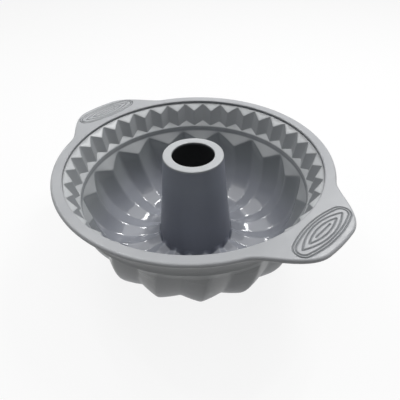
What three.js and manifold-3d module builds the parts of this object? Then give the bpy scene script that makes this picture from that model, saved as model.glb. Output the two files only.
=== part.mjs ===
// A fluted ring-cake pan: a grey silicone cup held in a silicone rim, with a steel-wire frame inside the rim.
// Millimetres, +Z up. The origin is the centre of the ring that the pan stands on, and the handles lie along X.
import * as THREE from 'three';
import { mergeVertices } from 'three/addons/utils/BufferGeometryUtils.js';
import Module from 'manifold-3d';

// Driving dimensions: silicone walls and fits
const WALL = 2.4; // silicone wall of the cup
const FIT_GAP = 0.3; // clearance between neighbouring pieces
const EDGE = 0.4; // narrow land between a pattern's corner and the circle that it meets

// Rim
const RIM_HEIGHT = 95; // rim's top face above the table
const MOUTH_RADIUS = 110.5; // inner edge of the rim
const RIM_LIP = 2.7; // rim's thickness at its inner edge
const RIM_CHAMFER = 0.8; // broken edge round the mouth
const BEAD = 4.4; // thickness of the rounded bead and of the handles
const SKIRT_WALL = 2; // short skirt round the top of the cup
const SKIRT_DEPTH = 8; // skirt's lower edge below the rim's top face
const RIM_OVERHANG = 4.8; // bead beyond the skirt

// Wing handles
const WING_REACH = 24; // tip of a handle beyond the rim's edge
const WING_FLAT = degrees(6); // half angle of the blunt tip
const WING_ROOT = degrees(28.5); // half angle where the handle has run out into the rim

// Steel frame inside the rim
const WIRE_DIAMETER = 2.4;
const HOOP_INSET = 3; // hoop's centre line inside the rim's edge
const WIRE_INSET = 7; // handle wire's centre line inside the handle's edge
const WIRE_LAP_ANGLE = degrees(22); // half angle where a handle wire ends, lapped along the hoop
const PIN_HOLE_RADIUS = 0.9; // holes that the mould's locating pins leave under the rim
const PIN_HOLES = 6;

// Pleated band under the rim
const PLEATS = 36;
const PLEAT_DEPTH = 4.8; // from the outer corners to the inner corners
const PLEAT_DRAFT = 4.4; // the band narrows this much on its way down
const PLEAT_TOP_DROP = 5.6; // inner corners start this much lower than the outer ones
const PLEAT_HEIGHT = 18; // height of the outer corners
const LEDGE_DROP = 4.4; // the ledge under the pleats falls this much towards the bowl

// Bowl
const LEDGE_LIP = 5.5; // plain upright step between the ledge and the flutes
const FLUTES = 16;
const FLUTE_PHASE = degrees(7.5); // a flute's outer corner, turned from the handle axis
const FLUTE_LEAN = degrees(6); // clockwise turn of the flutes from the bowl's top to the table
const FLUTE_DEPTH = 7.5; // at the bowl's top
const FLUTE_FOOT_DEPTH = 2.4; // at the tube's foot, which they scallop
const FLUTE_SHOULDER = 0.06; // share of the bowl's curve that the sloped tops of the ridges take up
const OUTSIDE_SHARE = 0.5; // share of the bowl's curve that the outside follows before it turns to the standing ring
const FLOOR_RADIUS = 62; // pole of the bowl's curve over the floor
const FLOOR_POLE = 3.6; // how far that curve's poles lie below the table, so that the floor just clears it
const STAND_INNER = 48; // flat standing ring
const STAND_OUTER = 70;

// Centre tube
const TUBE_FOOT_RADIUS = 35.2;
const TUBE_FOOT_HEIGHT = 8;
const TUBE_TOP_RADIUS = 26.3;
const TUBE_BORE_RADIUS = 18.7;
const TUBE_TOP_WALL = 3; // flat ring on top of the tube
const TUBE_RISE = 4.6; // tube's top above the rim

// Facets
const BOWL_ROWS = 8; // steps down the inside of the bowl
const OUTSIDE_ROWS = 5; // steps up its outside
const RIM_COLUMNS = 120;
const COLUMN_MIN = degrees(0.2); // columns closer than this are merged
const WIRE_SIDES = 8;
const HOOP_STEPS = 72;
const HANDLE_WIRE_STEPS = 30;
const HANDLE_WIRE_BENDS = 12; // points that a handle wire's curve is drawn through, less one

// Sizes that follow from those above
const seatRadius = MOUTH_RADIUS + WALL;
const skirtInner = seatRadius + FIT_GAP;
const skirtOuter = skirtInner + SKIRT_WALL;
const rimRadius = skirtOuter + RIM_OVERHANG;
const hoopRadius = rimRadius - HOOP_INSET;
const frameHeight = RIM_HEIGHT - BEAD / 2;
const seatHeight = RIM_HEIGHT - RIM_LIP - FIT_GAP;
const pleatTopOuter = MOUTH_RADIUS - EDGE;
const pleatFootOuter = pleatTopOuter - PLEAT_DRAFT;
const pleatBottom = seatHeight - PLEAT_HEIGHT;
const ledgeRadius = pleatFootOuter - PLEAT_DEPTH - EDGE;
const ledgeHeight = pleatBottom - LEDGE_DROP;
const bowlTop = ledgeHeight - LEDGE_LIP;
const tubeTop = RIM_HEIGHT + TUBE_RISE;

function degrees(value) {
  return THREE.MathUtils.degToRad(value);
}

// 0 on a pattern's outer corners and 1 on its inner corners, straight in between
function zigzag(angle, count, phase) {
  const turns = ((angle - phase) * count) / (2 * Math.PI);
  return 2 * Math.abs(turns - Math.round(turns));
}

// Angles of all corners, outer and inner, of a pattern
function cornerAngles(count, phase) {
  return Array.from({ length: 2 * count }, (_, i) => {
    const angle = phase + (i * Math.PI) / count;
    return THREE.MathUtils.euclideanModulo(angle, 2 * Math.PI);
  });
}

// A ring-shaped solid: sectionAt(angle) gives the closed section at each angle as points [radius, height, turn],
// counter-clockwise seen with the axis on the left. A point's turn moves it round the axis.
function loftRing(angles, sectionAt) {
  const sections = angles.map(sectionAt);
  const rows = sections[0].length;
  const positions = [];
  sections.forEach((section, column) => {
    section.forEach(([radius, height, turn = 0]) => {
      const angle = angles[column] + turn;
      positions.push(radius * Math.cos(angle), radius * Math.sin(angle), height);
    });
  });
  const triangles = [];
  for (let column = 0; column < sections.length; column++) {
    const here = column * rows;
    const next = ((column + 1) % sections.length) * rows;
    for (let row = 0; row < rows; row++) {
      const below = (row + 1) % rows;
      triangles.push(here + row, next + row, here + below);
      triangles.push(next + row, next + below, here + below);
    }
  }
  const geometry = new THREE.BufferGeometry();
  geometry.setAttribute('position', new THREE.Float32BufferAttribute(positions, 3));
  geometry.setIndex(triangles);
  return geometry;
}

// The bowl's curve at a flute's outer corner, from its top down the wall and over the floor to the tube's foot
const bowlCurve = new THREE.CubicBezierCurve(
  new THREE.Vector2(ledgeRadius, bowlTop),
  new THREE.Vector2(ledgeRadius, -FLOOR_POLE),
  new THREE.Vector2(FLOOR_RADIUS, -FLOOR_POLE),
  new THREE.Vector2(TUBE_FOOT_RADIUS, TUBE_FOOT_HEIGHT),
);

// A point of the fluted bowl: along its curve, raised inwards by the flute and by an offset from the wall
function bowlPoint(along, flute, offset) {
  const point = bowlCurve.getPoint(along);
  const tangent = bowlCurve.getTangent(along);
  const inwards = new THREE.Vector2(tangent.y, -tangent.x);
  const rise = flute * THREE.MathUtils.lerp(FLUTE_DEPTH, FLUTE_FOOT_DEPTH, along) + offset;
  point.addScaledVector(inwards, rise);
  const depth = (bowlTop - point.y) / bowlTop;
  return [point.x, Math.max(point.y, 0), -FLUTE_LEAN * depth];
}

// Closed section of the cup at one angle: pleats, ledge, bowl, tube, then back underneath and up the outside
function cupSection(angle) {
  const { lerp } = THREE.MathUtils;
  const pleat = zigzag(angle, PLEATS, 0);
  const flute = zigzag(angle, FLUTES, FLUTE_PHASE);
  const shoulder = FLUTE_SHOULDER * flute;
  const footTurn = bowlPoint(1, flute, 0)[2];

  const topDrop = PLEAT_TOP_DROP * pleat;
  const footDrop = (LEDGE_DROP - EDGE) * pleat;
  const topDraft = (PLEAT_DRAFT * topDrop) / PLEAT_HEIGHT;
  const inside = [
    [seatRadius, seatHeight],
    [MOUTH_RADIUS, seatHeight],
    [pleatTopOuter - topDraft - PLEAT_DEPTH * pleat, seatHeight - EDGE - topDrop],
    [pleatFootOuter - PLEAT_DEPTH * pleat, pleatBottom - footDrop],
    [ledgeRadius, ledgeHeight],
    [ledgeRadius, bowlTop + EDGE],
  ];
  for (let row = 0; row <= BOWL_ROWS; row++) {
    inside.push(bowlPoint(lerp(shoulder, 1, row / BOWL_ROWS), flute, 0));
  }

  const tube = [
    [TUBE_TOP_RADIUS, tubeTop, footTurn],
    [TUBE_BORE_RADIUS, tubeTop, footTurn],
    [TUBE_BORE_RADIUS, tubeTop - TUBE_TOP_WALL, footTurn],
    [TUBE_TOP_RADIUS - WALL, tubeTop - TUBE_TOP_WALL, footTurn],
    [TUBE_FOOT_RADIUS - WALL, TUBE_FOOT_HEIGHT - WALL / 2, footTurn],
  ];

  const standTurn = -FLUTE_LEAN;
  const outside = [
    [STAND_INNER, 0, standTurn],
    [STAND_OUTER, 0, standTurn],
  ];
  for (let row = OUTSIDE_ROWS; row >= 0; row--) {
    outside.push(bowlPoint(lerp(shoulder, OUTSIDE_SHARE, row / OUTSIDE_ROWS), flute, -WALL));
  }

  const collar = [
    [pleatFootOuter + WALL / 2, ledgeHeight - WALL / 2],
    [seatRadius, RIM_HEIGHT - SKIRT_DEPTH],
  ];
  return [...inside, ...tube, ...outside, ...collar];
}

function cupGeometry() {
  const corners = [...cornerAngles(PLEATS, 0), ...cornerAngles(FLUTES, FLUTE_PHASE)];
  corners.sort((a, b) => a - b);
  const columns = corners.filter((angle, i) => i === 0 || angle - corners[i - 1] > COLUMN_MIN);
  return loftRing(columns, cupSection);
}

// Outer edge of the rim, with a wing at each end of the X axis
function rimEdge(angle) {
  const fromAxis = Math.asin(Math.abs(Math.sin(angle)));
  return rimRadius + WING_REACH * (1 - THREE.MathUtils.smoothstep(fromAxis, WING_FLAT, WING_ROOT));
}

// Closed section of the rim at one angle: flat top, rounded bead, skirt, and the seat over the cup
function rimSection(angle) {
  const edge = rimEdge(angle);
  const round = BEAD / 2;
  const bead = [-90, -45, 0, 45, 90].map((tilt) => [
    edge - round + round * Math.cos(degrees(tilt)),
    RIM_HEIGHT - round + round * Math.sin(degrees(tilt)),
  ]);
  return [
    ...bead,
    [MOUTH_RADIUS + RIM_CHAMFER, RIM_HEIGHT],
    [MOUTH_RADIUS, RIM_HEIGHT - RIM_CHAMFER],
    [MOUTH_RADIUS, RIM_HEIGHT - RIM_LIP],
    [skirtInner, RIM_HEIGHT - RIM_LIP],
    [skirtInner, RIM_HEIGHT - SKIRT_DEPTH],
    [skirtOuter, RIM_HEIGHT - SKIRT_DEPTH],
    [skirtOuter, RIM_HEIGHT - BEAD],
  ];
}

// The ring of wire, or the channel that it lies in
function hoopGeometry(wireRadius) {
  const hoop = new THREE.TorusGeometry(hoopRadius, wireRadius, WIRE_SIDES, HOOP_STEPS);
  return hoop.translate(0, 0, frameHeight);
}

// A handle's wire, or its channel: it follows the wing's edge and ends lapped along the hoop
function handleWireGeometry(wireRadius) {
  const lapRadius = hoopRadius + WIRE_DIAMETER + FIT_GAP;
  const points = Array.from({ length: HANDLE_WIRE_BENDS + 1 }, (_, i) => {
    const angle = WIRE_LAP_ANGLE * ((2 * i) / HANDLE_WIRE_BENDS - 1);
    const radius = Math.max(rimEdge(angle) - WIRE_INSET, lapRadius);
    return new THREE.Vector3(radius * Math.cos(angle), radius * Math.sin(angle), frameHeight);
  });
  const section = new THREE.Shape();
  for (let side = 0; side < WIRE_SIDES; side++) {
    const turn = (2 * Math.PI * side) / WIRE_SIDES;
    const corner = [wireRadius * Math.cos(turn), wireRadius * Math.sin(turn)];
    if (side === 0) section.moveTo(...corner);
    else section.lineTo(...corner);
  }
  section.closePath();
  return new THREE.ExtrudeGeometry(section, {
    steps: HANDLE_WIRE_STEPS,
    bevelEnabled: false,
    extrudePath: new THREE.CatmullRomCurve3(points),
  });
}

// Hole from the rim's underside up to the middle of a wire's channel
function pinHoleGeometry(radius, angle) {
  const height = BEAD;
  const hole = new THREE.CylinderGeometry(PIN_HOLE_RADIUS, PIN_HOLE_RADIUS, height, WIRE_SIDES);
  hole.rotateX(Math.PI / 2);
  return hole.translate(radius * Math.cos(angle), radius * Math.sin(angle), frameHeight - height / 2);
}

// Boolean cuts
const wasm = await Module();
wasm.setup();

function toSolid(geometry) {
  const bare = geometry.clone();
  bare.deleteAttribute('normal');
  bare.deleteAttribute('uv');
  const merged = mergeVertices(bare);
  const vertProperties = new Float32Array(merged.attributes.position.array);
  const triVerts = new Uint32Array(merged.index.array);
  return new wasm.Manifold(new wasm.Mesh({ numProp: 3, vertProperties, triVerts }));
}

function toGeometry(solid) {
  const { vertProperties, triVerts } = solid.getMesh();
  const geometry = new THREE.BufferGeometry();
  geometry.setAttribute('position', new THREE.Float32BufferAttribute(vertProperties, 3));
  geometry.setIndex(Array.from(triVerts));
  return geometry;
}

// The rim with the channels of the steel frame and the pin holes that open them underneath
function rimGeometry() {
  const columns = Array.from({ length: RIM_COLUMNS }, (_, i) => (2 * Math.PI * i) / RIM_COLUMNS);
  const channel = WIRE_DIAMETER / 2 + FIT_GAP;
  const cuts = [
    hoopGeometry(channel),
    handleWireGeometry(channel),
    handleWireGeometry(channel).rotateZ(Math.PI),
  ];
  for (let hole = 0; hole < PIN_HOLES; hole++) {
    cuts.push(pinHoleGeometry(hoopRadius, (2 * Math.PI * (hole + 0.5)) / PIN_HOLES));
  }
  for (const angle of [0, Math.PI]) {
    cuts.push(pinHoleGeometry(rimEdge(angle) - WIRE_INSET, angle));
  }
  const body = toSolid(loftRing(columns, rimSection));
  return toGeometry(cuts.reduce((rest, cut) => rest.subtract(toSolid(cut)), body));
}

// Assembly
function addPiece(group, name, geometry, finish) {
  geometry.computeVertexNormals();
  const piece = new THREE.Mesh(geometry, new THREE.MeshStandardMaterial(finish));
  piece.name = name;
  group.add(piece);
  return piece;
}

const glossySilicone = { color: 0x7d828c, roughness: 0.3, metalness: 0 };
const satinSilicone = { color: 0xb4b8bd, roughness: 0.5, metalness: 0 };
const steelWire = { color: 0xc3c5c7, roughness: 0.35, metalness: 1 };

const pan = new THREE.Group();
addPiece(pan, 'fluted_cup', cupGeometry(), glossySilicone);
addPiece(pan, 'rim_and_handles', rimGeometry(), satinSilicone);
addPiece(pan, 'rim_hoop', hoopGeometry(WIRE_DIAMETER / 2), steelWire);
addPiece(pan, 'handle_wire_right', handleWireGeometry(WIRE_DIAMETER / 2), steelWire);
const leftWire = addPiece(pan, 'handle_wire_left', handleWireGeometry(WIRE_DIAMETER / 2), steelWire);
leftWire.rotation.z = Math.PI;

export default pan;
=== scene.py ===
"""Looks of a grey silicone ring-cake pan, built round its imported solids.

Lengths in this file are millimetres; meshes are made in metres, in the part's frame: +Z up, handles along X.
"""

import math

import bpy
import numpy as np
from mathutils import Matrix, Vector


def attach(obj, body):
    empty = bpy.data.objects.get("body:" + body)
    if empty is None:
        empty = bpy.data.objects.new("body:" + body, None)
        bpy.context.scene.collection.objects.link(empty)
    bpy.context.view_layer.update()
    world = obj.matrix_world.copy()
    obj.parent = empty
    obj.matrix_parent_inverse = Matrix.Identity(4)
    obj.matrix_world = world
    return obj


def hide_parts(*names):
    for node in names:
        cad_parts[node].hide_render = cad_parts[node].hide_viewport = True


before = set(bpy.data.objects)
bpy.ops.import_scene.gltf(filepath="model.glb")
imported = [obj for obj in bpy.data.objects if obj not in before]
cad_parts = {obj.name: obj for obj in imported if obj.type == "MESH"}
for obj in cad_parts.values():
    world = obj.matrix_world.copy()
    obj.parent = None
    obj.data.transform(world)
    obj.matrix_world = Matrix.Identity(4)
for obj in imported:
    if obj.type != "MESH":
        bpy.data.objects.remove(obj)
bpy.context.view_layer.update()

MM = 0.001

# Rim and handles
RIM_HEIGHT = 95.0
MOUTH_RADIUS = 110.5
MOUTH_ROUND = 1.2
RIM_LIP = 2.7
BEAD = 4.4
SKIRT_WALL = 2.0
SKIRT_DEPTH = 8.0
RIM_OVERHANG = 4.8
WING_REACH = 24.0
WING_FLAT = math.radians(6)
WING_ROOT = math.radians(28.5)

# Grip grooves: ovals at two distances round a core, two lenses and a slit, as half widths and half lengths
GRIP_CENTRE = 127.8
GRIP_OVAL_CORE = (3.65, 24.5)
GRIP_OVALS = (7.0, 5.0)
GRIP_LENSES = ((6.7, 25.4), (3.6, 17.4))
GRIP_SLIT = 9.0
GROOVE_HALF_WIDTH = 0.75
GROOVE_DEPTH = 1.1
GROOVE_MARGIN = 0.055

# Cup
WALL = 2.4
FIT_GAP = 0.3
EDGE = 0.4
PLEATS = 36
PLEAT_DEPTH = 4.8
PLEAT_DRAFT = 4.4
PLEAT_TOP_DROP = 5.6
PLEAT_HEIGHT = 18.0
LEDGE_DROP = 4.4
LEDGE_LIP = 5.5
FLUTES = 16
FLUTE_PHASE = math.radians(7.5)
FLUTE_LEAN = math.radians(6)
FLUTE_DEPTH = 7.5
FLUTE_FOOT_DEPTH = 2.4
FLUTE_PEAK = 2.4
COLLAR_STEP = 0.9
FLOOR_RADIUS = 62.0
FLOOR_POLE = 3.6
STAND_INNER = 48.0
STAND_OUTER = 70.0
TUBE_FOOT_RADIUS = 35.2
TUBE_FOOT_HEIGHT = 8.0
TUBE_ROUND_HEIGHT = 14.5
TUBE_TOP_RADIUS = 26.3
TUBE_BORE_RADIUS = 18.7
TUBE_TOP_WALL = 3.0
TUBE_RISE = 4.6

# Shares of the bowl's curve, from its top to the tube's foot
FLUTE_SHOULDER = 0.06
FLUTE_PEAK_START = 0.82
OUTSIDE_END = 0.5

# Shares of the collar's height: where its two steps are, and how far above each it is plain again
COLLAR_LINES = (0.05, 0.17)
COLLAR_BACK = 0.09

# Rounding of the zigzag corners, and where one corner's rounding gives way to the next, as shares of a side
PLEAT_SOFTNESS = 0.05
FLUTE_SOFTNESS = 0.065
SIDE_MIDDLE = (0.3, 0.7)

# Bends at the corners of the sections, each as the length that it takes from both sides
SHARP = 0.0
SEAT_BEND = 0.3
PLEAT_TOP_BEND = 0.5
PLEAT_FOOT_BEND = 0.4
LEDGE_BEND = 1.1
LEDGE_LIP_BEND = 0.8
FLUTE_TOP_BEND = 1.4
TUBE_FOOT_BEND = 0.5
TUBE_ROUND_BEND = 0.6
TUBE_TOP_BEND = 0.9
BORE_TOP_BEND = 0.7
BORE_FOOT_BEND = 0.5
HOLLOW_TOP_BEND = 1.0
HOLLOW_FOOT_BEND = 2.0
STAND_BEND = 3.0
COLLAR_FOOT_BEND = 1.6
COLLAR_LINE_BEND = 0.2
COLLAR_STEP_BEND = 0.3
COLLAR_TOP_BEND = 1.0
SKIRT_INNER_BEND = 0.4
SKIRT_OUTER_BEND = 0.8
LARGEST_BEND_SHARE = 0.45
SMALLEST_SIDE = 1e-6

# Mesh steps
PLEAT_SIDE_COLUMNS = 8
COLUMN_CROWDING = 0.6
HANDLE_SPAN = math.radians(17)
HANDLE_COLUMNS = 260
SIDE_COLUMNS = 110
BEND_STEPS = 4
BOWL_STEPS = 42
OUTSIDE_STEPS = 18
BEAD_STEPS = 10
FLANGE_STEPS = 92
MOUTH_STEPS = 6

# Sizes that follow from those above
SEAT_RADIUS = MOUTH_RADIUS + WALL
SKIRT_INNER = SEAT_RADIUS + FIT_GAP
SKIRT_OUTER = SKIRT_INNER + SKIRT_WALL
RIM_RADIUS = SKIRT_OUTER + RIM_OVERHANG
BEAD_RADIUS = BEAD / 2
SEAT_HEIGHT = RIM_HEIGHT - RIM_LIP - FIT_GAP
PLEAT_TOP_OUTER = MOUTH_RADIUS - EDGE
PLEAT_FOOT_OUTER = PLEAT_TOP_OUTER - PLEAT_DRAFT
PLEAT_BOTTOM = SEAT_HEIGHT - PLEAT_HEIGHT
LEDGE_RADIUS = PLEAT_FOOT_OUTER - PLEAT_DEPTH - EDGE
LEDGE_HEIGHT = PLEAT_BOTTOM - LEDGE_DROP
BOWL_TOP = LEDGE_HEIGHT - LEDGE_LIP
TUBE_TOP = RIM_HEIGHT + TUBE_RISE

# Colours
CUP_DARK = (0.465, 0.48, 0.49)
CUP_LIGHT = (0.505, 0.52, 0.53)
# Painted shade: the cup darker on its steep walls
CUP_STEEP_SHADE = (0.385, 0.4, 0.41)
# Painted shade: the bowl's inner walls darker still
BOWL_WALL_SHADE = (0.285, 0.302, 0.31)
# Painted shade: the bowl's floor darker and a little bluer
BOWL_FLOOR_SHADE = (0.28, 0.292, 0.325)
COLLAR_SHADOW = (0.16, 0.168, 0.175)
# Painted shade: the tube darker and bluer, darkest at its foot
TUBE_SHADE_LOW = (0.11, 0.118, 0.148)
TUBE_SHADE_HIGH = (0.25, 0.267, 0.315)
# Painted shade: near black inside the tube's hollow
TUBE_HOLLOW_SHADE = (0.008, 0.009, 0.012)
RIM_DARK = (0.385, 0.395, 0.41)
RIM_LIGHT = (0.425, 0.435, 0.45)
# Painted light: the rim's edge and steep faces paler
RIM_EDGE_PAINTED_LIGHT = (0.47, 0.48, 0.495)
# Painted shade: the mouth's wall darker
RIM_MOUTH_SHADE = (0.29, 0.3, 0.31)
# Painted shade: darker in the grip grooves
RIM_GROOVE_SHADE = (0.19, 0.2, 0.21)
WIRE_DARK = (0.42, 0.43, 0.44)
WIRE_LIGHT = (0.62, 0.63, 0.64)
STAGE_DARK = (0.42, 0.42, 0.42)
STAGE_LIGHT = (0.46, 0.46, 0.46)
STAGE_SEEN = (0.95, 0.95, 0.95)
FILL_COLOUR = (0.95, 0.97, 1.0)
WHITE = (1.0, 1.0, 1.0)

# Heights over which colours and gloss change, from start to end
BOWL_WALL_TOP = (60.0, 66.0)
BOWL_FLOOR_TOP = (20.0, 45.0)
SATIN_START = (56.0, 70.0)
TUBE_FADE = (10.0, 80.0)
TUBE_RING_START = (TUBE_TOP - 2.1, TUBE_TOP - 0.6)

# Distances from the axis over which they change
TUBE_BOUND = (TUBE_FOOT_RADIUS + 0.5, TUBE_FOOT_RADIUS + 1.6)
MOUTH_BOUND = (MOUTH_RADIUS + 1.0, MOUTH_RADIUS + 2.0)

# Slopes over which they change: 0 is an upright wall, 1 looks straight up
UPRIGHT = (-0.05, 0.05)
CUP_SLOPES = (0.25, 0.6)
RIM_SLOPES = (0.15, 0.7)

# The dark line below a collar step: how far it fades downwards and upwards
COLLAR_SHADE_BELOW = 1.2
COLLAR_SHADE_ABOVE = 0.1

# Parts of a texture's range, and a share's whole range
NOISE_MIDDLE = (0.3, 0.7)
CLOUD_MIDDLE = (0.32, 0.68)
WHOLE = (0.0, 1.0)

# Roughness of the cup's satin and dull faces, of the wire and of the stage
SATIN = 0.36
DULL = 0.9
WIRE_ROUGHNESS = (0.28, 0.42)
STAGE_ROUGHNESS = 0.9

# Camera, measured from the middle of the rim's top face, and the viewing direction
VIEW_AZIMUTH = math.radians(45.5)
VIEW_ELEVATION = math.radians(40.3)
VIEW_ROLL = math.radians(-1.32)
VIEW_DISTANCE = 342.0
VIEW_SIDE = -5.8
VIEW_RISE = 35.9
LENS_PIXELS = 395.0
FRAME_PIXELS = 400.0
SENSOR_WIDTH = 36.0
CLIP_START = 10.0

# Stage and light
STAGE_HALF_WIDTH = 25000.0
STAGE_DROP = 0.2
STAGE_GLOW = 0.88
FILL_STRENGTH = 0.04
LIGHT_DISTANCE = 1000.0
LIGHT_AIM = 50.0


# Shapes

def smoothstep(low, high, value):
    share = np.clip((value - low) / (high - low), 0.0, 1.0)
    return share * share * (3.0 - 2.0 * share)


def mix(a, b, share):
    return a + (b - a) * share


def zigzag(angle, count, phase, softness):
    """0 on a pattern's outer corners and 1 on its inner corners, with corners rounded by softness."""
    turns = (angle - phase) * count / (2.0 * math.pi)
    straight = 2.0 * np.abs(turns - np.round(turns))
    near_outer = np.sqrt(straight ** 2 + softness ** 2)
    near_inner = 1.0 - np.sqrt((1.0 - straight) ** 2 + softness ** 2)
    return mix(near_outer, near_inner, smoothstep(*SIDE_MIDDLE, straight))


def corner_columns(count, per_side, crowding):
    """Angles all round, crowded towards the corners of a pattern whose first outer corner is at 0."""
    sides = np.repeat(np.arange(2 * count), per_side)
    step = np.tile(np.arange(per_side) / per_side, 2 * count)
    eased = step - crowding * np.sin(2.0 * math.pi * step) / (2.0 * math.pi)
    return (sides + eased) * math.pi / count


def ring(columns, radius, height, turn=0.0):
    """Points of one row, from numbers or from one value for each column."""
    row = np.zeros((len(columns), 3))
    row[:, 0] = radius
    row[:, 1] = height
    row[:, 2] = turn
    return row


def towards(point, neighbour, bend):
    """Points of a row, moved by the length of a bend towards those of its neighbour."""
    way = neighbour - point
    reach = np.linalg.norm(way[:, :2], axis=1, keepdims=True)
    return point + way * np.minimum(LARGEST_BEND_SHARE, bend / np.maximum(reach, SMALLEST_SIDE))


def rounded_section(corners):
    """Rows of a closed section. Each corner is a row of points and the length of its bend."""
    rows = []
    for i, (point, bend) in enumerate(corners):
        if bend == SHARP:
            rows.append(point)
            continue
        start = towards(point, corners[i - 1][0], bend)
        end = towards(point, corners[(i + 1) % len(corners)][0], bend)
        for step in range(BEND_STEPS + 1):
            share = step / BEND_STEPS
            rows.append(mix(mix(start, point, share), mix(point, end, share), share))
    return rows


def ring_mesh(name, columns, rows):
    """A closed ring-shaped mesh from rows of (radius, height, turn), one entry for each column."""
    grid = np.stack(rows)
    angle = columns[None, :] + grid[:, :, 2]
    points = np.stack([
        grid[:, :, 0] * np.cos(angle),
        grid[:, :, 0] * np.sin(angle),
        grid[:, :, 1],
    ], axis=-1) * MM
    row_count, column_count = points.shape[:2]
    here = np.arange(row_count * column_count).reshape(row_count, column_count)
    below = np.roll(here, -1, axis=0)
    faces = np.stack([
        here,
        np.roll(here, -1, axis=1),
        np.roll(below, -1, axis=1),
        below,
    ], axis=-1).reshape(-1, 4)
    mesh = bpy.data.meshes.new(name)
    mesh.from_pydata(points.reshape(-1, 3).tolist(), [], faces.tolist())
    mesh.shade_smooth()
    piece = bpy.data.objects.new(name, mesh)
    bpy.context.scene.collection.objects.link(piece)
    return piece


# The silicone cup

def bowl_row(along, flute, offset):
    """A row of the fluted bowl, at a share along its curve, raised inwards by the flute and an offset."""
    poles_r = (LEDGE_RADIUS, LEDGE_RADIUS, FLOOR_RADIUS, TUBE_FOOT_RADIUS)
    poles_z = (BOWL_TOP, -FLOOR_POLE, -FLOOR_POLE, TUBE_FOOT_HEIGHT)
    rest = 1.0 - along
    weights = (rest ** 3, 3 * along * rest ** 2, 3 * along ** 2 * rest, along ** 3)
    slopes = (rest ** 2, 2 * along * rest, along ** 2)
    radius = sum(w * p for w, p in zip(weights, poles_r))
    height = sum(w * p for w, p in zip(weights, poles_z))
    run_r = sum(s * (b - a) for s, a, b in zip(slopes, poles_r, poles_r[1:]))
    run_z = sum(s * (b - a) for s, a, b in zip(slopes, poles_z, poles_z[1:]))
    length = np.hypot(run_r, run_z)
    peak = FLUTE_PEAK * smoothstep(FLUTE_PEAK_START, 1.0, along)
    rise = flute * (mix(FLUTE_DEPTH, FLUTE_FOOT_DEPTH, along) + peak) + offset
    radius = radius + rise * run_z / length
    height = height - rise * run_r / length
    turn = -FLUTE_LEAN * (BOWL_TOP - height) / BOWL_TOP
    return np.stack([radius, np.maximum(height, 0.0), turn], axis=1)


def tube_radius(height):
    share = (height - TUBE_FOOT_HEIGHT) / (TUBE_TOP - TUBE_FOOT_HEIGHT)
    return mix(TUBE_FOOT_RADIUS, TUBE_TOP_RADIUS, share)


def collar_point(share):
    """Radius and height on the plain collar outside, from its foot at 0 to the rim's skirt at 1."""
    low = np.array((PLEAT_FOOT_OUTER + WALL / 2, LEDGE_HEIGHT - WALL / 2))
    high = np.array((SEAT_RADIUS, RIM_HEIGHT - SKIRT_DEPTH))
    return mix(low, high, share)


def pleat_corners(columns):
    """From the cup's seat in the rim, down the pleated band and over the ledge's lip."""
    pleat = zigzag(columns, PLEATS, 0.0, PLEAT_SOFTNESS)
    top_drop = PLEAT_TOP_DROP * pleat
    top_radius = PLEAT_TOP_OUTER - PLEAT_DRAFT * top_drop / PLEAT_HEIGHT - PLEAT_DEPTH * pleat
    foot_radius = PLEAT_FOOT_OUTER - PLEAT_DEPTH * pleat
    foot_height = PLEAT_BOTTOM - (LEDGE_DROP - EDGE) * pleat
    return [
        (ring(columns, SEAT_RADIUS, SEAT_HEIGHT), SEAT_BEND),
        (ring(columns, MOUTH_RADIUS, SEAT_HEIGHT), SHARP),
        (ring(columns, top_radius, SEAT_HEIGHT - EDGE - top_drop), PLEAT_TOP_BEND),
        (ring(columns, foot_radius, foot_height), PLEAT_FOOT_BEND),
        (ring(columns, LEDGE_RADIUS, LEDGE_HEIGHT), LEDGE_BEND),
        (ring(columns, LEDGE_RADIUS, BOWL_TOP + EDGE), LEDGE_LIP_BEND),
    ]


def bowl_corners(flute):
    """Down the fluted bowl to the tube's foot."""
    corners = []
    for step in range(BOWL_STEPS):
        along = mix(FLUTE_SHOULDER * flute, 1.0, step / BOWL_STEPS)
        bend = FLUTE_TOP_BEND if step == 0 else SHARP
        corners.append((bowl_row(along, flute, 0.0), bend))
    corners.append((bowl_row(1.0, flute, 0.0), TUBE_FOOT_BEND))
    return corners


def tube_corners(columns, turn):
    """Up the tube, over its ring, down the hollow and out along the standing ring."""
    ring_foot = TUBE_TOP - TUBE_TOP_WALL
    hollow_foot = TUBE_FOOT_HEIGHT - WALL / 2
    return [
        (ring(columns, tube_radius(TUBE_ROUND_HEIGHT), TUBE_ROUND_HEIGHT, turn), TUBE_ROUND_BEND),
        (ring(columns, TUBE_TOP_RADIUS, TUBE_TOP, turn), TUBE_TOP_BEND),
        (ring(columns, TUBE_BORE_RADIUS, TUBE_TOP, turn), BORE_TOP_BEND),
        (ring(columns, TUBE_BORE_RADIUS, ring_foot, turn), BORE_FOOT_BEND),
        (ring(columns, TUBE_TOP_RADIUS - WALL, ring_foot, turn), HOLLOW_TOP_BEND),
        (ring(columns, TUBE_FOOT_RADIUS - WALL, hollow_foot, turn), HOLLOW_FOOT_BEND),
        (ring(columns, STAND_INNER, 0.0, -FLUTE_LEAN), STAND_BEND),
        (ring(columns, STAND_OUTER, 0.0, -FLUTE_LEAN), STAND_BEND),
    ]


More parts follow.
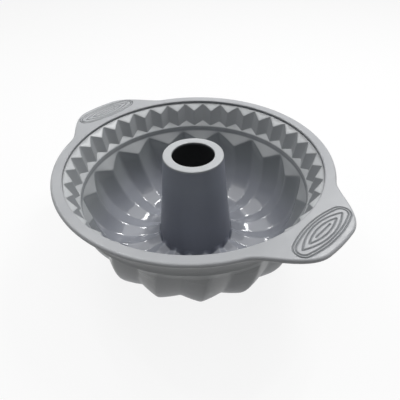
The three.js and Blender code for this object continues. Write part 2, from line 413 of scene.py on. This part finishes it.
def outside_corners(columns, flute):
    """Up the outside of the flutes and of the stepped collar."""
    corners = []
    for step in range(OUTSIDE_STEPS, -1, -1):
        along = mix(FLUTE_SHOULDER * flute, OUTSIDE_END, step / OUTSIDE_STEPS)
        corners.append((bowl_row(along, flute, -WALL), SHARP))
    top = collar_point(1.0)
    corners.append((ring(columns, *collar_point(0.0)), COLLAR_FOOT_BEND))
    for share in COLLAR_LINES:
        line = collar_point(share)
        corners += [
            (ring(columns, *line), COLLAR_LINE_BEND),
            (ring(columns, line[0] + COLLAR_STEP, line[1]), COLLAR_STEP_BEND),
            (ring(columns, *mix(line, top, COLLAR_BACK)), SHARP),
        ]
    corners.append((ring(columns, *top), COLLAR_TOP_BEND))
    return corners


def make_cup():
    """One closed section all round: the inside down to the tube, the tube, its hollow and the outside."""
    columns = corner_columns(PLEATS, PLEAT_SIDE_COLUMNS, COLUMN_CROWDING)
    flute = zigzag(columns, FLUTES, FLUTE_PHASE, FLUTE_SOFTNESS)
    foot_turn = bowl_row(1.0, flute, 0.0)[:, 2]
    corners = pleat_corners(columns) + bowl_corners(flute)
    corners += tube_corners(columns, foot_turn) + outside_corners(columns, flute)
    return ring_mesh("silicone_cup", columns, rounded_section(corners))


# The silicone rim

def rim_edge(angle):
    """The rim's radius, which grows over both handles."""
    from_axis = np.arcsin(np.abs(np.sin(angle)))
    return RIM_RADIUS + WING_REACH * (1.0 - smoothstep(WING_FLAT, WING_ROOT, from_axis))


def rim_columns():
    """Angles all round, closer together over the handles, for their grooves."""
    fine = np.linspace(-HANDLE_SPAN, HANDLE_SPAN, HANDLE_COLUMNS)
    coarse = np.linspace(HANDLE_SPAN, math.pi - HANDLE_SPAN, SIDE_COLUMNS)[1:-1]
    half = np.concatenate([fine, coarse])
    return np.concatenate([half, half + math.pi])


def lens_distance(across, along, half_width, half_length):
    """Distance to the outline of a lens of two arcs, below zero inside it."""
    arc = (half_length ** 2 + half_width ** 2) / (2.0 * half_width)
    centre = arc - half_width
    across = np.abs(across)
    along = np.abs(along)
    to_arc = np.hypot(across + centre, along) - arc
    to_tip = np.hypot(across, along - half_length)
    past_tip = along * centre > half_length * (across + centre)
    return np.where(past_tip, to_tip, to_arc)


def groove_depth(x, y):
    """Depth of the grip grooves of both handles: two ovals, two pointed lenses and a slit, nested."""
    across = np.abs(x) - GRIP_CENTRE
    core = lens_distance(across, y, *GRIP_OVAL_CORE)
    lines = [np.abs(core - oval) for oval in GRIP_OVALS]
    lines += [np.abs(lens_distance(across, y, *lens)) for lens in GRIP_LENSES]
    lines.append(np.hypot(across, np.maximum(np.abs(y) - GRIP_SLIT, 0.0)))
    nearest = np.min(lines, axis=0)
    return GROOVE_DEPTH * np.clip(1.0 - (nearest / GROOVE_HALF_WIDTH) ** 2, 0.0, 1.0)


def mark_grooves(mesh):
    """Keep how deep each point of the top face lies in a grip groove, from 0 to 1, for the painted shade in
    the grooves.
    """
    points = np.empty(3 * len(mesh.vertices))
    mesh.vertices.foreach_get("co", points)
    x, y, z = points.reshape(-1, 3).T / MM
    on_top = z > RIM_HEIGHT - GROOVE_DEPTH - GROOVE_MARGIN
    share = np.where(on_top, groove_depth(x, y) / GROOVE_DEPTH, 0.0)
    mesh.attributes.new("groove", "FLOAT", "POINT").data.foreach_set("value", share)


def bead_rows(columns, bead_centre):
    """Half a circle from the flange's underside, round its edge, to its top face."""
    rows = []
    for tilt in np.linspace(-math.pi / 2, math.pi / 2, BEAD_STEPS + 1):
        radius = bead_centre + BEAD_RADIUS * math.cos(tilt)
        rows.append(ring(columns, radius, RIM_HEIGHT - BEAD_RADIUS + BEAD_RADIUS * math.sin(tilt)))
    return rows


def flange_rows(columns, bead_centre):
    """The top face from the bead to the mouth, with the grip grooves sunk into it."""
    rows = []
    for step in range(1, FLANGE_STEPS):
        radius = mix(bead_centre, MOUTH_RADIUS + MOUTH_ROUND, step / FLANGE_STEPS)
        depth = groove_depth(radius * np.cos(columns), radius * np.sin(columns))
        rows.append(ring(columns, radius, RIM_HEIGHT - depth))
    return rows


def mouth_rows(columns):
    """A quarter circle from the top face to the mouth's wall."""
    rows = []
    for tilt in np.linspace(0.0, math.pi / 2, MOUTH_STEPS + 1):
        radius = MOUTH_RADIUS + MOUTH_ROUND * (1.0 - math.sin(tilt))
        rows.append(ring(columns, radius, RIM_HEIGHT - MOUTH_ROUND * (1.0 - math.cos(tilt))))
    return rows


def skirt_rows(columns, bead_centre):
    """Under the lip, down and up the skirt, and out to the bead, whose first row closes the section."""
    lip_foot = RIM_HEIGHT - RIM_LIP
    skirt_foot = RIM_HEIGHT - SKIRT_DEPTH
    flange_foot = RIM_HEIGHT - BEAD
    return rounded_section([
        (ring(columns, MOUTH_RADIUS, lip_foot), SHARP),
        (ring(columns, SKIRT_INNER, lip_foot), SHARP),
        (ring(columns, SKIRT_INNER, skirt_foot), SKIRT_INNER_BEND),
        (ring(columns, SKIRT_OUTER, skirt_foot), SKIRT_OUTER_BEND),
        (ring(columns, SKIRT_OUTER, flange_foot), SKIRT_OUTER_BEND),
        (ring(columns, bead_centre, flange_foot), SHARP),
    ])[:-1]


def make_rim():
    """One closed section all round: the bead, the flange's top, the mouth's edge and the skirt."""
    columns = rim_columns()
    bead_centre = rim_edge(columns) - BEAD_RADIUS
    rows = bead_rows(columns, bead_centre) + flange_rows(columns, bead_centre)
    rows += mouth_rows(columns) + skirt_rows(columns, bead_centre)
    piece = ring_mesh("silicone_rim", columns, rows)
    mark_grooves(piece.data)
    return piece


# Shader nodes

def new_material(name):
    material = bpy.data.materials.new(name)
    material.use_nodes = True
    nodes = material.node_tree.nodes
    nodes.clear()
    output = nodes.new("ShaderNodeOutputMaterial")
    shader = nodes.new("ShaderNodeBsdfPrincipled")
    material.node_tree.links.new(shader.outputs["BSDF"], output.inputs["Surface"])
    return material, shader


def metres(lengths):
    """Lengths as the shader nodes measure them."""
    return tuple(length * MM for length in lengths)


def add_noise(tree, scale, detail):
    place = tree.nodes.new("ShaderNodeTexCoord")
    noise = tree.nodes.new("ShaderNodeTexNoise")
    noise.inputs["Scale"].default_value = scale
    noise.inputs["Detail"].default_value = detail
    tree.links.new(place.outputs["Object"], noise.inputs["Vector"])
    return noise.outputs["Fac"]


def add_ramp(tree, source, across, low, high):
    """The colour low where a value is at the start of a range, and high at its end."""
    ramp = tree.nodes.new("ShaderNodeValToRGB")
    for element, colour, position in zip(ramp.color_ramp.elements, (low, high), across):
        element.color = (*colour, 1.0)
        element.position = position
    tree.links.new(source, ramp.inputs["Fac"])
    return ramp.outputs["Color"]


def add_range(tree, source, across, low, high):
    """The number low where a value is at the start of a range, and high at its end."""
    scale = tree.nodes.new("ShaderNodeMapRange")
    start, end = across
    scale.inputs["From Min"].default_value = start
    scale.inputs["From Max"].default_value = end
    scale.inputs["To Min"].default_value = low
    scale.inputs["To Max"].default_value = high
    tree.links.new(source, scale.inputs["Value"])
    return scale.outputs["Result"]


def add_rise(tree, source, across):
    """0 at the start of a range and 1 at its end."""
    return add_range(tree, source, across, 0.0, 1.0)


def add_fall(tree, source, across):
    """1 at the start of a range and 0 at its end."""
    return add_range(tree, source, across, 1.0, 0.0)


def add_math(tree, operation, result, *others):
    """Take a value and work each of the others into it."""
    for other in others:
        node = tree.nodes.new("ShaderNodeMath")
        node.operation = operation
        tree.links.new(result, node.inputs[0])
        tree.links.new(other, node.inputs[1])
        result = node.outputs["Value"]
    return result


def add_mix(tree, share, colour):
    """A mix of a colour with another, still to be given, that takes over where share is 1."""
    blend = tree.nodes.new("ShaderNodeMix")
    blend.data_type = "RGBA"
    tree.links.new(share, blend.inputs["Factor"])
    tree.links.new(colour, blend.inputs["A"])
    return blend


def add_tint(tree, share, colour, tint):
    """Blend a colour towards a fixed tint."""
    blend = add_mix(tree, share, colour)
    blend.inputs["B"].default_value = (*tint, 1.0)
    return blend.outputs["Result"]


def add_blend(tree, share, colour, other):
    """Blend a colour towards another one that varies."""
    blend = add_mix(tree, share, colour)
    tree.links.new(other, blend.inputs["B"])
    return blend.outputs["Result"]


def add_place(tree):
    """Height above the table and distance from the pan's axis, in metres."""
    place = tree.nodes.new("ShaderNodeTexCoord")
    split = tree.nodes.new("ShaderNodeSeparateXYZ")
    tree.links.new(place.outputs["Object"], split.inputs["Vector"])
    flat = tree.nodes.new("ShaderNodeCombineXYZ")
    tree.links.new(split.outputs["X"], flat.inputs["X"])
    tree.links.new(split.outputs["Y"], flat.inputs["Y"])
    length = tree.nodes.new("ShaderNodeVectorMath")
    length.operation = "LENGTH"
    tree.links.new(flat.outputs["Vector"], length.inputs[0])
    return split.outputs["Z"], length.outputs["Value"]


def add_slope(tree):
    """1 on faces that look straight up, 0 on upright walls, below 0 on faces that look down."""
    place = tree.nodes.new("ShaderNodeTexCoord")
    split = tree.nodes.new("ShaderNodeSeparateXYZ")
    tree.links.new(place.outputs["Normal"], split.inputs["Vector"])
    return split.outputs["Z"]


def add_bump(tree, source, strength, distance):
    bump = tree.nodes.new("ShaderNodeBump")
    bump.inputs["Strength"].default_value = strength
    bump.inputs["Distance"].default_value = distance * MM
    tree.links.new(source, bump.inputs["Height"])
    return bump


def add_collar_shade(tree, height):
    """1 just below each step of the collar, fading downwards."""
    shades = []
    for share in COLLAR_LINES:
        step = collar_point(share)[1]
        below = add_rise(tree, height, metres((step - COLLAR_SHADE_BELOW, step)))
        above = add_fall(tree, height, metres((step, step + COLLAR_SHADE_ABOVE)))
        shades.append(add_math(tree, "MULTIPLY", below, above))
    return add_math(tree, "MAXIMUM", *shades)


# Materials

def silicone(name, dark, light, smooth, rough, grain, uneven, ior):
    """Moulded silicone: faint clouds in its colour and gloss, a fine grain and slightly uneven faces.

    The colour and the roughness are returned, for each piece's look to change and link.
    """
    material, shader = new_material(name)
    tree = material.node_tree
    tone = add_ramp(tree, add_noise(tree, scale=22.0, detail=4.0), CLOUD_MIDDLE, dark, light)
    sheen = add_range(tree, add_noise(tree, scale=60.0, detail=5.0), NOISE_MIDDLE, smooth, rough)
    fine = add_bump(tree, add_noise(tree, scale=1400.0, detail=2.0), grain, distance=0.2)
    waves = add_bump(tree, add_noise(tree, scale=55.0, detail=1.0), uneven, distance=3.0)
    tree.links.new(fine.outputs["Normal"], waves.inputs["Normal"])
    tree.links.new(waves.outputs["Normal"], shader.inputs["Normal"])
    shader.inputs["IOR"].default_value = ior
    return material, shader, tone, sheen


def cup_look():
    """Glossy in the bowl, satin elsewhere, with painted shade: darker on steep walls, on the bowl's walls,
    below the collar's steps and in the tube's hollow, and darker and bluer on the bowl's floor and the tube.
    """
    material, shader, tone, sheen = silicone(
        "cup_silicone_look", CUP_DARK, CUP_LIGHT, smooth=0.05, rough=0.1, grain=0.04, uneven=0.1, ior=1.56)
    tree = material.node_tree
    height, reach = add_place(tree)
    slope = add_slope(tree)

    steep = add_fall(tree, slope, CUP_SLOPES)
    facing_in = add_rise(tree, slope, UPRIGHT)
    outside = add_fall(tree, slope, UPRIGHT)
    below_ledge = add_fall(tree, height, metres(BOWL_WALL_TOP))
    # The bowl's inner walls below the ledge, where painted shade goes
    bowl_wall = add_math(tree, "MULTIPLY", steep, facing_in, below_ledge)
    # The bowl's floor, where painted shade goes
    bowl_floor = add_fall(tree, height, metres(BOWL_FLOOR_TOP))
    collar_shade = add_math(tree, "MULTIPLY", add_collar_shade(tree, height), outside)
    below_ring = add_fall(tree, height, metres(TUBE_RING_START))
    on_tube = add_math(tree, "MULTIPLY", add_fall(tree, reach, metres(TUBE_BOUND)), below_ring)
    tube_heights = metres((TUBE_FOOT_HEIGHT, TUBE_TOP))
    wall_middle = metres((TUBE_FOOT_RADIUS - WALL / 2, TUBE_TOP_RADIUS - WALL / 2))
    within_wall = add_math(tree, "LESS_THAN", reach, add_range(tree, height, tube_heights, *wall_middle))
    in_hollow = add_math(tree, "MULTIPLY", within_wall, below_ring)

    # Painted shade on steep walls, then on the bowl's walls and floor and below the collar's steps
    colour = add_tint(tree, steep, tone, CUP_STEEP_SHADE)
    colour = add_tint(tree, bowl_wall, colour, BOWL_WALL_SHADE)
    colour = add_tint(tree, bowl_floor, colour, BOWL_FLOOR_SHADE)
    colour = add_tint(tree, collar_shade, colour, COLLAR_SHADOW)
    # Painted shade on the tube, darker towards its foot
    tube_shade = add_ramp(tree, add_rise(tree, height, metres(TUBE_FADE)), WHOLE, TUBE_SHADE_LOW, TUBE_SHADE_HIGH)
    colour = add_blend(tree, on_tube, colour, tube_shade)
    # Painted shade inside the tube's hollow
    colour = add_tint(tree, in_hollow, colour, TUBE_HOLLOW_SHADE)
    tree.links.new(colour, shader.inputs["Base Color"])

    satin = add_math(tree, "MAXIMUM", on_tube, add_rise(tree, height, metres(SATIN_START)), outside)
    satin_part = add_range(tree, satin, WHOLE, 0.0, SATIN)
    dull_part = add_range(tree, in_hollow, WHOLE, 0.0, DULL)
    tree.links.new(add_math(tree, "MAXIMUM", sheen, satin_part, dull_part), shader.inputs["Roughness"])
    return material


def rim_look():
    """Paler than the cup's walls, with painted light making it palest round the edge, and painted shade
    making it darker in the grooves and at the mouth.
    """
    material, shader, tone, sheen = silicone(
        "rim_silicone_look", RIM_DARK, RIM_LIGHT, smooth=0.3, rough=0.42, grain=0.08, uneven=0.18, ior=1.41)
    tree = material.node_tree
    groove = tree.nodes.new("ShaderNodeAttribute")
    groove.attribute_name = "groove"
    steep = add_fall(tree, add_slope(tree), RIM_SLOPES)
    _, reach = add_place(tree)
    mouth = add_math(tree, "MULTIPLY", steep, add_fall(tree, reach, metres(MOUTH_BOUND)))
    # Painted light on steep faces, then painted shade at the mouth and in the grooves
    colour = add_tint(tree, steep, tone, RIM_EDGE_PAINTED_LIGHT)
    colour = add_tint(tree, mouth, colour, RIM_MOUTH_SHADE)
    colour = add_tint(tree, groove.outputs["Fac"], colour, RIM_GROOVE_SHADE)
    tree.links.new(colour, shader.inputs["Base Color"])
    tree.links.new(sheen, shader.inputs["Roughness"])
    return material


def wire_look():
    """Drawn steel wire, with fine uneven streaks."""
    material, shader = new_material("steel_wire_look")
    tree = material.node_tree
    streaks = add_noise(tree, scale=900.0, detail=3.0)
    tone = add_ramp(tree, streaks, NOISE_MIDDLE, WIRE_DARK, WIRE_LIGHT)
    tree.links.new(tone, shader.inputs["Base Color"])
    tree.links.new(add_range(tree, streaks, NOISE_MIDDLE, *WIRE_ROUGHNESS), shader.inputs["Roughness"])
    shader.inputs["Metallic"].default_value = 1.0
    return material


# Pieces

def dress(piece, material, node):
    """Give a new piece its material, say what it rides on and hide the CAD node that it stands in for."""
    piece.data.materials.append(material)
    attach(piece, "root")
    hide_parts(node)


dress(make_cup(), cup_look(), "fluted_cup")
dress(make_rim(), rim_look(), "rim_and_handles")
steel = wire_look()
for wire in ("rim_hoop", "handle_wire_right", "handle_wire_left"):
    wire_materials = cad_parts[wire].data.materials
    wire_materials.clear()
    wire_materials.append(steel)


# Camera, stage and light

def view_turn():
    return Matrix.Rotation(VIEW_AZIMUTH, 3, "Z")


def make_camera():
    """The camera stands at the photograph's viewing angle, with the rim's middle a little off the axis."""
    forward = Vector((0.0, math.cos(VIEW_ELEVATION), -math.sin(VIEW_ELEVATION)))
    level_right = Vector((1.0, 0.0, 0.0))
    level_up = level_right.cross(forward)
    right = math.cos(VIEW_ROLL) * level_right + math.sin(VIEW_ROLL) * level_up
    up = math.cos(VIEW_ROLL) * level_up - math.sin(VIEW_ROLL) * level_right
    middle = Vector((0.0, 0.0, RIM_HEIGHT))
    stand = view_turn() @ (-forward * VIEW_DISTANCE - right * VIEW_SIDE - up * VIEW_RISE) + middle
    axes = view_turn() @ Matrix((right, up, -forward)).transposed()
    data = bpy.data.cameras.new("camera")
    data.sensor_width = SENSOR_WIDTH
    data.lens = SENSOR_WIDTH * LENS_PIXELS / FRAME_PIXELS
    data.clip_start = CLIP_START * MM
    camera = bpy.data.objects.new("camera", data)
    camera.matrix_world = Matrix.Translation(stand * MM) @ axes.to_4x4()
    bpy.context.scene.collection.objects.link(camera)
    bpy.context.scene.camera = camera


def seen_directly(tree):
    """1 for rays from the camera and for those that it sees in gloss or through glass."""
    path = tree.nodes.new("ShaderNodeLightPath")
    rays = ("Is Camera Ray", "Is Glossy Ray", "Is Transmission Ray")
    return add_math(tree, "MAXIMUM", *(path.outputs[ray] for ray in rays))


def floor_look():
    """A pale floor that is seen as near white, with the pan's shadow faint on it."""
    material, shader = new_material("pale_floor")
    tree = material.node_tree
    tone = add_ramp(tree, add_noise(tree, scale=8.0, detail=3.0), NOISE_MIDDLE, STAGE_DARK, STAGE_LIGHT)
    seen = seen_directly(tree)
    tree.links.new(add_tint(tree, seen, tone, STAGE_SEEN), shader.inputs["Base Color"])
    shader.inputs["Roughness"].default_value = STAGE_ROUGHNESS
    white = tree.nodes.new("ShaderNodeEmission")
    white.inputs["Color"].default_value = (*WHITE, 1.0)
    blend = tree.nodes.new("ShaderNodeMixShader")
    tree.links.new(add_range(tree, seen, WHOLE, 0.0, STAGE_GLOW), blend.inputs["Fac"])
    tree.links.new(shader.outputs["BSDF"], blend.inputs[1])
    tree.links.new(white.outputs["Emission"], blend.inputs[2])
    tree.links.new(blend.outputs["Shader"], tree.nodes["Material Output"].inputs["Surface"])
    return material


def make_floor():
    half = STAGE_HALF_WIDTH * MM
    corners = [(-half, -half, 0), (half, -half, 0), (half, half, 0), (-half, half, 0)]
    mesh = bpy.data.meshes.new("floor")
    mesh.from_pydata(corners, [], [(0, 1, 2, 3)])
    mesh.materials.append(floor_look())
    floor = bpy.data.objects.new("floor", mesh)
    floor.location.z = -STAGE_DROP * MM
    bpy.context.scene.collection.objects.link(floor)


def make_world():
    """Soft even light, and white behind the pan for the camera and in reflections."""
    world = bpy.data.worlds.new("studio")
    world.use_nodes = True
    tree = world.node_tree
    tree.nodes.clear()
    output = tree.nodes.new("ShaderNodeOutputWorld")
    fill = tree.nodes.new("ShaderNodeBackground")
    fill.inputs["Color"].default_value = (*FILL_COLOUR, 1.0)
    fill.inputs["Strength"].default_value = FILL_STRENGTH
    white = tree.nodes.new("ShaderNodeBackground")
    white.inputs["Color"].default_value = (*WHITE, 1.0)
    choose = tree.nodes.new("ShaderNodeMixShader")
    tree.links.new(seen_directly(tree), choose.inputs["Fac"])
    tree.links.new(fill.outputs["Background"], choose.inputs[1])
    tree.links.new(white.outputs["Background"], choose.inputs[2])
    tree.links.new(choose.outputs["Shader"], output.inputs["Surface"])
    bpy.context.scene.world = world


def make_light(name, turn, rise, width, height, power):
    """A softbox that faces the pan. Its turn, to the right from behind the pan, and rise are in degrees."""
    data = bpy.data.lights.new(name, "AREA")
    data.shape = "RECTANGLE"
    data.size = width * MM
    data.size_y = height * MM
    data.energy = power
    light = bpy.data.objects.new(name, data)
    heading = view_turn() @ Matrix.Rotation(-math.radians(turn), 3, "Z")
    tilt = heading @ Matrix.Rotation(math.radians(rise - 90), 3, "X")
    place = Vector((0.0, 0.0, LIGHT_AIM)) + tilt @ Vector((0.0, 0.0, LIGHT_DISTANCE))
    light.matrix_world = Matrix.Translation(place * MM) @ tilt.to_4x4()
    bpy.context.scene.collection.objects.link(light)


make_camera()
make_floor()
make_world()
make_light("top_softbox", turn=0, rise=90, width=1000, height=1000, power=5.0)
for turn in (40, 58):
    make_light(f"right_strip_{turn}", turn=turn, rise=52, width=60, height=360, power=2.5)
for turn in (38, 54):
    make_light(f"left_strip_{turn}", turn=-turn, rise=54, width=50, height=300, power=1.2)
bpy.context.scene.view_settings.view_transform = "Standard"
